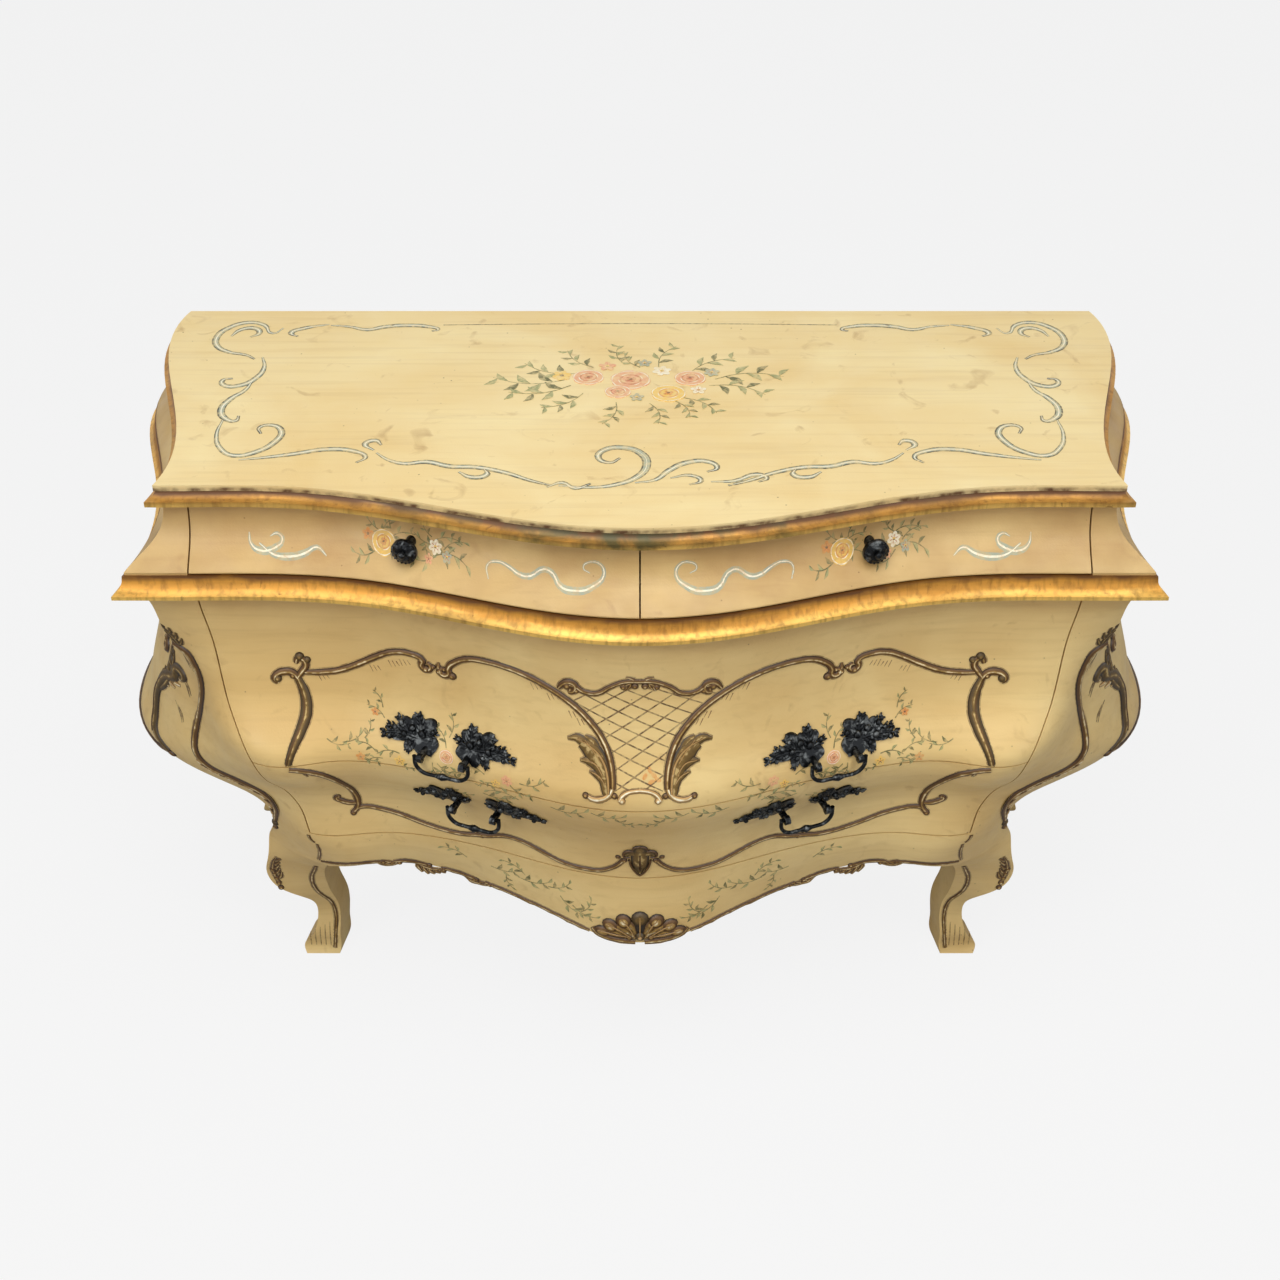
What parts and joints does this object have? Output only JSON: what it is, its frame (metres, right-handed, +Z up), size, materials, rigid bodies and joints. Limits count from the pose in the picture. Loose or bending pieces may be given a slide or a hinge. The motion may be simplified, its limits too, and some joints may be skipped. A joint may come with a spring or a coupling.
{
  "type": "bombe chest",
  "caption": "Bombe chest of drawers with a serpentine swelling front, coved frieze drawers, carved gilt mouldings and short cabriole legs.",
  "frame": {"origin": "on the floor under the middle of the chest's bounding box", "axes": "+X to the right as seen from the front, +Y to the flat back, +Z up"},
  "size_m": [1.3732, 0.6044, 0.865],
  "materials": {
    "painted_wood": "ochre-cream paint, crazed and worn, with painted scrolls and flowers",
    "gilt_wood": "carved and gilded, worn to brown",
    "dark_metal": "dark patina",
    "raw_wood": "bare, aged"
  },
  "bodies": {
    "carcass": {"apron_shell": "gilt_wood", "back_panel": "raw_wood", "bottom_board": "raw_wood", "drawer_guides": "raw_wood", "frieze_divider": "raw_wood", "frieze_post_left": "painted_wood", "frieze_post_right": "painted_wood", "frieze_side_left": "painted_wood", "frieze_side_right": "painted_wood", "front_apron": "painted_wood", "front_stile_left": "painted_wood", "front_stile_right": "painted_wood", "middle_board": "raw_wood", "rear_post_left": "painted_wood", "rear_post_right": "painted_wood", "side_apron_left": "painted_wood", "side_apron_right": "painted_wood", "side_panel_left": "painted_wood", "side_panel_right": "painted_wood", "top_board": "painted_wood", "top_moulding": "gilt_wood", "top_rails": "raw_wood", "waist_board": "raw_wood", "waist_moulding": "gilt_wood"},
    "frieze_drawer_left": {"frieze_left_back": "raw_wood", "frieze_left_bottom": "raw_wood", "frieze_left_front": "painted_wood", "frieze_left_knob": "dark_metal", "frieze_left_side_left": "raw_wood", "frieze_left_side_right": "raw_wood"},
    "frieze_drawer_right": {"frieze_right_back": "raw_wood", "frieze_right_bottom": "raw_wood", "frieze_right_front": "painted_wood", "frieze_right_knob": "dark_metal", "frieze_right_side_left": "raw_wood", "frieze_right_side_right": "raw_wood"},
    "upper_drawer": {"upper_drawer_back": "raw_wood", "upper_drawer_bottom": "raw_wood", "upper_drawer_front": "painted_wood", "upper_drawer_nuts": "dark_metal", "upper_drawer_side_left": "raw_wood", "upper_drawer_side_right": "raw_wood", "upper_left_plates": "dark_metal", "upper_right_plates": "dark_metal"},
    "lower_drawer": {"lower_drawer_back": "raw_wood", "lower_drawer_bottom": "raw_wood", "lower_drawer_front": "painted_wood", "lower_drawer_nuts": "dark_metal", "lower_drawer_side_left": "raw_wood", "lower_drawer_side_right": "raw_wood", "lower_left_plates": "dark_metal", "lower_right_plates": "dark_metal"},
    "lower_bail_left": {"lower_left_bail": "dark_metal"},
    "lower_bail_right": {"lower_right_bail": "dark_metal"},
    "upper_bail_left": {"upper_left_bail": "dark_metal"},
    "upper_bail_right": {"upper_right_bail": "dark_metal"}
  },
  "joints": [
    {"name": "frieze_drawer_left_slide", "type": "slide", "parent": "carcass", "child": "frieze_drawer_left", "axis": [0, -1, 0], "range_m": [0, 0.3]},
    {"name": "frieze_drawer_right_slide", "type": "slide", "parent": "carcass", "child": "frieze_drawer_right", "axis": [0, -1, 0], "range_m": [0, 0.3]},
    {"name": "upper_drawer_slide", "type": "slide", "parent": "carcass", "child": "upper_drawer", "axis": [0, -1, 0], "range_m": [0, 0.3]},
    {"name": "lower_drawer_slide", "type": "slide", "parent": "carcass", "child": "lower_drawer", "axis": [0, -1, 0], "range_m": [0, 0.3]},
    {"name": "upper_bail_left_swing", "type": "hinge", "parent": "upper_drawer", "child": "upper_bail_left", "pos_m": [-0.24532, -0.24559, 0.535], "axis": [-0.9488, 0.3159, 0], "range_deg": [0, 90]},
    {"name": "upper_bail_right_swing", "type": "hinge", "parent": "upper_drawer", "child": "upper_bail_right", "pos_m": [0.24532, -0.24559, 0.535], "axis": [-0.9488, -0.3159, 0], "range_deg": [0, 90]},
    {"name": "lower_bail_left_swing", "type": "hinge", "parent": "lower_drawer", "child": "lower_bail_left", "pos_m": [-0.21115, -0.23716, 0.441], "axis": [-0.9339, 0.3576, 0], "range_deg": [0, 90]},
    {"name": "lower_bail_right_swing", "type": "hinge", "parent": "lower_drawer", "child": "lower_bail_right", "pos_m": [0.21115, -0.23716, 0.441], "axis": [-0.9339, -0.3576, 0], "range_deg": [0, 90]}
  ]
}
